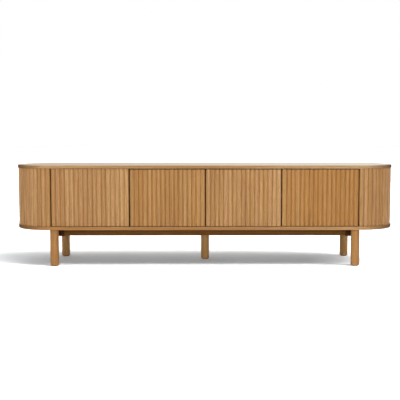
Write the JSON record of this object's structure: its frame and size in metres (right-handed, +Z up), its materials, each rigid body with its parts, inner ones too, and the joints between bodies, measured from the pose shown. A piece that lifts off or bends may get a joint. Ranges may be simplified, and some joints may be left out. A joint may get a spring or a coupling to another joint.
{
  "type": "media cabinet",
  "caption": "Long low oak media cabinet with half-round reeded ends, reeded push-to-open doors, round legs, shelves and cable holes.",
  "frame": {"origin": "on the floor under the middle of the cabinet", "axes": "+X to the right of someone facing the doors, -Y out of the doors, +Z up"},
  "size_m": [2.1, 0.4, 0.55],
  "materials": {
    "oak_top": "natural oak veneer under satin lacquer",
    "oak_reeding": "solid oak ribs under satin lacquer, each with its own tone",
    "oak_board": "oak veneered board under satin lacquer",
    "oak_leg": "turned solid oak under satin lacquer",
    "oak_rail": "solid oak under matt lacquer",
    "hinge_steel": "nickel plated",
    "latch_plastic": "moulded grey acetal",
    "foot_nylon": "moulded black nylon"
  },
  "bodies": {
    "carcass": {"top_panel": "oak_top", "base_panel": "oak_board", "centre_divider": "oak_board", "left_upright": "oak_board", "left_shelf": "oak_board", "left_back_panel": "oak_board", "left_end_core": "oak_board", "left_end_reeding": "oak_reeding", "left_side_rail": "oak_rail", "right_upright": "oak_board", "right_shelf": "oak_board", "right_back_panel": "oak_board", "right_end_core": "oak_board", "right_end_reeding": "oak_reeding", "right_side_rail": "oak_rail", "front_rail": "oak_rail", "rear_rail": "oak_rail", "front_left_leg": "oak_leg", "front_left_foot_pad": "foot_nylon", "front_right_leg": "oak_leg", "front_right_foot_pad": "foot_nylon", "rear_left_leg": "oak_leg", "rear_left_foot_pad": "foot_nylon", "rear_right_leg": "oak_leg", "rear_right_foot_pad": "foot_nylon", "centre_leg": "oak_leg", "centre_foot_pad": "foot_nylon", "outer_left_lower_hinge_arm": "hinge_steel", "outer_left_upper_hinge_arm": "hinge_steel", "outer_left_latch_housing": "latch_plastic", "inner_left_lower_hinge_arm": "hinge_steel", "inner_left_upper_hinge_arm": "hinge_steel", "inner_left_latch_housing": "latch_plastic", "inner_right_lower_hinge_arm": "hinge_steel", "inner_right_upper_hinge_arm": "hinge_steel", "inner_right_latch_housing": "latch_plastic", "outer_right_lower_hinge_arm": "hinge_steel", "outer_right_upper_hinge_arm": "hinge_steel", "outer_right_latch_housing": "latch_plastic"},
    "outer_left_door": {"outer_left_door": "oak_board", "outer_left_reeding": "oak_reeding", "outer_left_lower_hinge_cup": "hinge_steel", "outer_left_upper_hinge_cup": "hinge_steel"},
    "outer_left_plunger": {"outer_left_latch_plunger": "latch_plastic"},
    "inner_left_door": {"inner_left_door": "oak_board", "inner_left_reeding": "oak_reeding", "inner_left_lower_hinge_cup": "hinge_steel", "inner_left_upper_hinge_cup": "hinge_steel"},
    "inner_left_plunger": {"inner_left_latch_plunger": "latch_plastic"},
    "inner_right_door": {"inner_right_door": "oak_board", "inner_right_reeding": "oak_reeding", "inner_right_lower_hinge_cup": "hinge_steel", "inner_right_upper_hinge_cup": "hinge_steel"},
    "inner_right_plunger": {"inner_right_latch_plunger": "latch_plastic"},
    "outer_right_door": {"outer_right_door": "oak_board", "outer_right_reeding": "oak_reeding", "outer_right_lower_hinge_cup": "hinge_steel", "outer_right_upper_hinge_cup": "hinge_steel"},
    "outer_right_plunger": {"outer_right_latch_plunger": "latch_plastic"}
  },
  "joints": [
    {"name": "outer_left_door_hinge", "type": "hinge", "parent": "carcass", "child": "outer_left_door", "pos_m": [-0.8275, -0.193, 0.3745], "axis": [0, 0, -1], "range_deg": [0, 105]},
    {"name": "outer_left_latch_slide", "type": "slide", "parent": "carcass", "child": "outer_left_plunger", "axis": [0, -1, 0], "range_m": [0, 0.02]},
    {"name": "inner_left_door_hinge", "type": "hinge", "parent": "carcass", "child": "inner_left_door", "pos_m": [-0.0042, -0.193, 0.3745], "axis": [0, 0, 1], "range_deg": [0, 90]},
    {"name": "inner_left_latch_slide", "type": "slide", "parent": "carcass", "child": "inner_left_plunger", "axis": [0, -1, 0], "range_m": [0, 0.02]},
    {"name": "inner_right_door_hinge", "type": "hinge", "parent": "carcass", "child": "inner_right_door", "pos_m": [0.0098, -0.193, 0.3745], "axis": [0, 0, -1], "range_deg": [0, 90]},
    {"name": "inner_right_latch_slide", "type": "slide", "parent": "carcass", "child": "inner_right_plunger", "axis": [0, -1, 0], "range_m": [0, 0.02]},
    {"name": "outer_right_door_hinge", "type": "hinge", "parent": "carcass", "child": "outer_right_door", "pos_m": [0.8275, -0.193, 0.3745], "axis": [0, 0, 1], "range_deg": [0, 105]},
    {"name": "outer_right_latch_slide", "type": "slide", "parent": "carcass", "child": "outer_right_plunger", "axis": [0, -1, 0], "range_m": [0, 0.02]}
  ],
  "couplings": [
    {"joint": "outer_left_latch_slide", "follows": "outer_left_door_hinge", "m_per_rad": 0.0109},
    {"joint": "inner_left_latch_slide", "follows": "inner_left_door_hinge", "m_per_rad": 0.0127},
    {"joint": "inner_right_latch_slide", "follows": "inner_right_door_hinge", "m_per_rad": 0.0127},
    {"joint": "outer_right_latch_slide", "follows": "outer_right_door_hinge", "m_per_rad": 0.0109}
  ]
}
